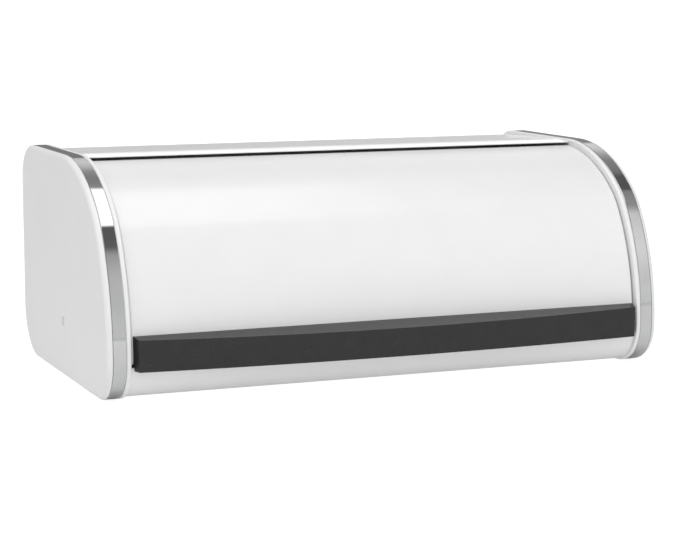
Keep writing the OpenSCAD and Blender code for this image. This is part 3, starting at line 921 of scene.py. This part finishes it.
def lid_panel():
    """The curved sheet with its four edges folded in over a small radius."""
    columns = 20
    corner_n = 5
    end_s = LID_LENGTH - LID_CORNER
    edge_x = LID_X - LID_CORNER
    rows_s = even(LID_CORNER, end_s, 64)

    def side_chain(inset):
        """(s, x) from the top edge down one side to the bottom edge, with its two corners."""
        radius = LID_CORNER - inset
        top = [(LID_CORNER - radius * c, edge_x + radius * s) for s, c in quarter(corner_n)]
        middle = [(s, LID_X - inset) for s in rows_s[1:-1]]
        low = [(end_s + radius * c, edge_x + radius * s) for s, c in quarter(corner_n, 90, 0)]
        return top + middle + low

    def under(s, x, depth):
        """A point at a depth under the lid's outer surface."""
        (y, z), turn = lid_at(s)
        a = math.radians(turn)
        return (x, y + depth * math.sin(a), z - depth * math.cos(a))

    def fold_depth(s):
        """How deep the edge is folded: less along the top."""
        share = min(1.0, max(0.0, s / LID_CORNER))
        return LID_TOP_FOLD + (LID_FOLD - LID_TOP_FOLD) * share

    def loop(inset, depth_of):
        """The whole edge, down the left side and back up the right one."""
        chain = side_chain(inset)
        inner = even(-edge_x, edge_x, columns)[1:-1]
        top_s = chain[0][0]
        low_s = chain[-1][0]
        points = [(s, -x) for s, x in chain] + [(low_s, x) for x in inner]
        points += [(s, x) for s, x in chain[::-1]] + [(top_s, x) for x in inner[::-1]]
        return [under(s, x, depth_of(s)) for s, x in points]

    bm = bmesh.new()
    rolled = [loop(LID_ROLL * (1 - s), lambda _, d=LID_ROLL * (1 - c): d) for s, c in quarter(4)]
    rolled.append(loop(0, lambda s: LID_ROLL + (fold_depth(s) - LID_ROLL) * 0.5))
    rolled.append(loop(0, fold_depth))
    rows = skin(bm, rolled)
    first = rows[0]
    count = len(side_chain(0))
    right_from = count + columns - 1
    top_from = right_from + count
    left = first[:count]
    right = first[right_from:top_from][::-1]

    # the lid's face, in rows from one side to the other
    grid = []
    for i in range(count):
        if i == 0:
            middle = first[top_from:][::-1]
        elif i == count - 1:
            middle = first[count:right_from]
        else:
            a = left[i].co
            b = right[i].co
            middle = [bm.verts.new(a.lerp(b, k / columns)) for k in range(1, columns)]
        grid.append([left[i], *middle, right[i]])
    for a, b in zip(grid, grid[1:]):
        for k in range(columns):
            bm.faces.new((a[k], a[k + 1], b[k + 1], b[k]))
    obj = piece(
        "lid_panel_sheet", bm, LID, "white_enamel", ["lid_panel"], sharp=60, outward=OUTWARD
    )
    add_thickness(obj, SHEET_T)


def add_thickness(obj, t):
    """Thickens a surface inwards, before its other modifiers."""
    solid = obj.modifiers.new("thickness", "SOLIDIFY")
    solid.thickness = t
    solid.offset = -1
    solid.use_even_offset = True
    obj.modifiers.move(len(obj.modifiers) - 1, 0)


def lid_cheek(side, sign):
    """The moulded arm: a plate under the lid's end, a rib along it, and the hub."""
    inner = LID_INSET + LID_ROLL + SHEET_T
    plate_low = lid_low.z + SHEET_T
    t = 2.2 * MM
    rib_t = 2 * MM
    rib_out = 1.2 * MM
    top = LID_TURN + 0.6
    outline = [p for p in front_line(inner, top) if p[1] > plate_low + MM]
    outline.append((FRONT + inner, plate_low))
    outline.append((PIVOT[0] - 2 * MM, plate_low))
    outline += arc(PIVOT, HUB_R - 0.6 * MM, 170, LID_TURN, 10)
    bm = bmesh.new()
    plate(bm, outline, CHEEK_X, CHEEK_X + t)
    rib = front_line(LID_INSET + LID_FOLD + 2 * MM, top)
    rib = [p for p in rib if p[1] > lid_low.z + 5 * MM]
    sheet_along_x(bm, rib, rib_t, (CHEEK_X - rib_out, CHEEK_X + t / 2))
    turned(bm, soft_ring(HUB_IN, HUB_OUT, BUSH_R, HUB_R, 0.5 * MM), segments=64)
    nodes = [f"lid_cheek_{side}"]
    piece(f"lid_cheek_{side}_arm", bm, LID, "white_frame", nodes, sign, rounding=0.25 * MM)


def grip_bar():
    """The black bar: bowed in plan, its top falling forward, hollow and open underneath."""
    back = FRONT + LID_INSET
    half = grip_high.x
    low = grip_low.z
    bow_r = (half**2 + GRIP_BOW**2) / (2 * GRIP_BOW)
    clear = 0.4 * MM
    step_y = FRONT + SHELL_INSET - clear       # behind it the grip stays above the lip
    back_low = lid_low.z + clear
    step = 0.05 * MM
    off_lid = 0.03 * MM
    columns = 56
    levels = 4

    def front_y(x):
        """The bowed front."""
        return grip_low.y + bow_r - math.sqrt(bow_r**2 - x**2)

    def lid_y(z):
        """The lid's face, which the grip's back follows."""
        up = max(0.0, z - CHEST_Z)
        return CHEST[0] - math.sqrt((CHEST_R - LID_INSET) ** 2 - up**2) - off_lid

    def top_z(y):
        """The top, which falls towards the front."""
        return GRIP_TOP - (back - y) * math.tan(GRIP_FALL)

    def end_x(y):
        """The slanted right-hand end."""
        return half - GRIP_SLANT * (back - y) / GRIP_OUT

    front_half = end_x(front_y(half - GRIP_SLANT))
    end_front = front_y(front_half)
    xs = even(-front_half, front_half, columns)
    back_xs = even(-half, half, columns)
    side_ys = [end_front + (step_y - end_front) * f for f in (0.35, 0.75)]
    side_ys += [step_y, step_y + step]

    def column(x, y, share):
        """A point on the outer wall at a share of the way up."""
        start = back_low if y > step_y + step / 2 else low
        z = start + (top_z(y) - start) * share
        return (x, y, z)

    def back_point(x, share):
        """A point on the back wall at a share of the way up."""
        z = back_low + (top_z(back) - back_low) * share
        return (x, lid_y(z), z)

    bm = bmesh.new()
    loops = []
    for share in even(0, 1, levels):
        loop = [column(x, front_y(x), share) for x in xs]
        loop += [column(end_x(y), y, share) for y in side_ys]
        loop += [back_point(x, share) for x in back_xs[::-1]]
        loop += [column(-end_x(y), y, share) for y in side_ys[::-1]]
        loops.append(loop)
    rows = skin(bm, loops)
    top = rows[-1]
    n = len(xs)
    m = len(side_ys)
    front = top[:n]
    right = top[n : n + m]
    rear = top[n + m : 2 * n + m][::-1]
    left = top[2 * n + m :][::-1]

    # the top's face, in rows from the front to the back
    grid = [front]
    for k in range(m):
        row = [left[k]]
        share = (side_ys[k] - end_front) / (back - end_front)
        for i in range(1, n - 1):
            x = front[i].co.x + (rear[i].co.x - front[i].co.x) * share
            y = front[i].co.y + (back - front[i].co.y) * share
            row.append(bm.verts.new((x, y, top_z(y))))
        grid.append(row + [right[k]])
    grid.append(rear)
    for a, b in zip(grid, grid[1:]):
        for i in range(n - 1):
            bm.faces.new((a[i], a[i + 1], b[i + 1], b[i]))
    obj = piece(
        "grip_bar", bm, LID, "black_grip", ["grip"], rounding=GRIP_ROUND, sharp=50, outward=OUTWARD
    )
    add_thickness(obj, GRIP_WALL)


def grip_bosses():
    """The blind screw bosses inside the grip, which stand out from its back wall."""
    back = FRONT + LID_INSET
    start = back - GRIP_WALL / 2
    hole = SCREW_R + 0.05 * MM
    edge = 0.4 * MM
    end = GRIP_BOSS_L - GRIP_WALL / 2
    profile = [(end - 0.5 * MM, hole), (0, hole), (0, GRIP_BOSS_R)]
    profile += [(end - edge * (1 - s), GRIP_BOSS_R - edge * (1 - c)) for s, c in quarter(3)]
    boss = bmesh.new()
    turned(boss, profile, centre=(0, 0), segments=32, close=False)
    form = as_mesh(boss)
    bm = bmesh.new()
    for x in GRIP_SCREWS:
        add_moved(bm, form, Matrix.Translation((x, start, GRIP_SCREW_Z)) @ TO_FRONT)
    piece("grip_bosses", bm, LID, "black_grip", ["grip"])


# ---- build everything ----------------------------------------------------------------------

body_shell()
lid_panel()
grip_bar()
grip_bosses()
for side, sign in ENDS:
    side_frame(side, sign)
    end_cover(side, sign)
    bright_band_strip(side, sign)
    pivot_pin(side, sign)
    pivot_plug(side, sign)
    pivot_washer(side, sign)
    pivot_bush(side, sign)
    stop_buffer(side, sign, "closed_stop")
    stop_buffer(side, sign, "open_stop")
    foot_pads(side, sign)
    lid_cheek(side, sign)
all_screws()

# ---- studio --------------------------------------------------------------------------------

FLOOR_R = 40.0

# Brightness of the surroundings at angles from the back's horizon over the top to the front's
WORLD_PEAK = 4.0
LEFT_SKY = [
    (0, 0.22), (20, 0.22), (23, 0.70), (33, 0.76), (41, 0.62), (49, 0.36), (58, 0.28), (69, 0.34),
    (71, 1.70), (116, 1.70), (119, 0.12), (133, 0.15), (137, 0.46), (148, 0.62), (180, 0.75),
]
RIGHT_SKY = [
    (0, 0.25), (24, 0.30), (29, 0.88), (41, 0.78), (49, 0.52), (58, 0.31), (74, 0.24), (79, 0.12),
    (94, 0.12), (98, 0.30), (124, 0.38), (128, 0.80), (148, 0.96), (165, 0.79), (180, 0.79),
]
# The X of a direction at which the left surroundings begin and end giving way to the right ones
RIGHT_FROM = 0.34
RIGHT_FULL = 0.42


def stage_floor(name, rays, z, base, glow):
    """A large pale round floor with a glow of its own, there only for one kind of rays."""
    bm = bmesh.new()
    bmesh.ops.create_circle(bm, cap_ends=True, radius=FLOOR_R, segments=96)
    mesh = bpy.data.meshes.new(name)
    bm.to_mesh(mesh)
    bm.free()
    floor = bpy.data.objects.new(name, mesh)
    floor.location.z = z
    bpy.context.scene.collection.objects.link(floor)
    made, tree, shader, place = material(name, grey(base), 0.9, specular=0.1)
    shader.inputs["Emission Color"].default_value = (1, 1, 1, 1)
    shader.inputs["Emission Strength"].default_value = glow
    vary_roughness(tree, shader, noise(tree, place, 3, 2), 0.85, 0.95)
    floor.data.materials.append(made)
    floor.visible_camera = rays == "camera"
    floor.visible_glossy = rays == "glossy"
    floor.visible_diffuse = rays == "diffuse"
    floor.visible_shadow = False


def softbox(name, at, aim, size, radiance):
    """A rectangular light of a given brightness, which isn't seen directly or mirrored."""
    light = bpy.data.lights.new(name, "AREA")
    light.shape = "RECTANGLE"
    light.size, light.size_y = size
    light.energy = radiance * size[0] * size[1] * math.pi
    obj = bpy.data.objects.new(name, light)
    bpy.context.scene.collection.objects.link(obj)
    obj.location = at
    obj.rotation_mode = "QUATERNION"
    obj.rotation_quaternion = (Vector(aim) - Vector(at)).to_track_quat("-Z", "Y")
    obj.visible_camera = False
    obj.visible_glossy = False
    return obj


def studio_world():
    """Soft surroundings, drawn as brightness against the angle over the object, back to front."""
    world = bpy.data.worlds.new("studio")
    bpy.context.scene.world = world
    world.use_nodes = True
    tree = world.node_tree
    nodes = tree.nodes
    links = tree.links
    background = nodes["Background"]
    background.inputs["Color"].default_value = (1, 1, 1, 1)
    where = nodes.new("ShaderNodeTexCoord").outputs["Generated"]
    split = nodes.new("ShaderNodeSeparateXYZ")
    links.new(where, split.inputs[0])

    def calculate(operation, *values):
        """The output of a maths node, whose values are numbers or sockets."""
        node = nodes.new("ShaderNodeMath")
        node.operation = operation
        for socket, value in zip(node.inputs, values):
            if isinstance(value, (int, float)):
                socket.default_value = value
            else:
                links.new(value, socket)
        return node.outputs[0]

    def profile(angle, stops):
        """Brightness against the angle, as a share of the peak."""
        ramp = nodes.new("ShaderNodeValToRGB")
        elements = ramp.color_ramp.elements
        while len(elements) < len(stops):
            elements.new(0.5)
        for element, (degrees, radiance) in zip(elements, stops):
            element.position = degrees / 180
            element.color = [radiance / WORLD_PEAK] * 3 + [1]
        links.new(angle, ramp.inputs["Fac"])
        return ramp.outputs["Color"]

    turn = calculate("ARCTAN2", split.outputs["Z"], split.outputs["Y"])
    angle = calculate("DIVIDE", turn, math.pi)
    to_right = nodes.new("ShaderNodeMapRange")
    to_right.interpolation_type = "SMOOTHSTEP"
    to_right.inputs["From Min"].default_value = RIGHT_FROM
    to_right.inputs["From Max"].default_value = RIGHT_FULL
    links.new(split.outputs["X"], to_right.inputs["Value"])
    blend = nodes.new("ShaderNodeMixRGB")
    links.new(to_right.outputs["Result"], blend.inputs["Fac"])
    links.new(profile(angle, LEFT_SKY), blend.inputs["Color1"])
    links.new(profile(angle, RIGHT_SKY), blend.inputs["Color2"])
    strength = calculate("MULTIPLY", blend.outputs["Color"], WORLD_PEAK)
    links.new(strength, background.inputs["Strength"])

    seen = nodes.new("ShaderNodeBackground")
    seen.inputs["Color"].default_value = (1, 1, 1, 1)
    mix = nodes.new("ShaderNodeMixShader")
    rays = nodes.new("ShaderNodeLightPath")
    links.new(rays.outputs["Is Camera Ray"], mix.inputs["Fac"])
    links.new(background.outputs[0], mix.inputs[1])
    links.new(seen.outputs[0], mix.inputs[2])
    links.new(mix.outputs[0], nodes["World Output"].inputs["Surface"])


def light_from_behind():
    """A light that only the shell gets and mirrors: it gives the top's front part its shine."""
    light = softbox(
        "behind", at=(0.7, 2.1, 0.8), aim=(0, 0, 0.17), size=(3.0, 0.62), radiance=1.15
    )
    light.visible_glossy = True
    lit = bpy.data.collections.new("lit_from_behind")
    lit.objects.link(bpy.data.objects["body_shell_sheet"])
    light.light_linking.receiver_collection = lit


stage_floor("floor_seen", "camera", z=0, base=0.30, glow=0.90)
stage_floor("floor_mirrored", "glossy", z=-1 * MM, base=0.75, glow=0.05)
stage_floor("floor_bounce", "diffuse", z=-2 * MM, base=0.50, glow=0.40)
studio_world()
softbox("overhead", at=(-0.4, -0.9, 1.6), aim=(0, -0.05, 0.1), size=(1.8, 1.2), radiance=1.26)
softbox("low_front", at=(0.25, -1.7, 0.2), aim=(0.05, 0, 0.05), size=(1.8, 0.35), radiance=1.45)
light_from_behind()
bpy.context.scene.view_settings.view_transform = "Standard"
bpy.context.scene.view_settings.look = "None"
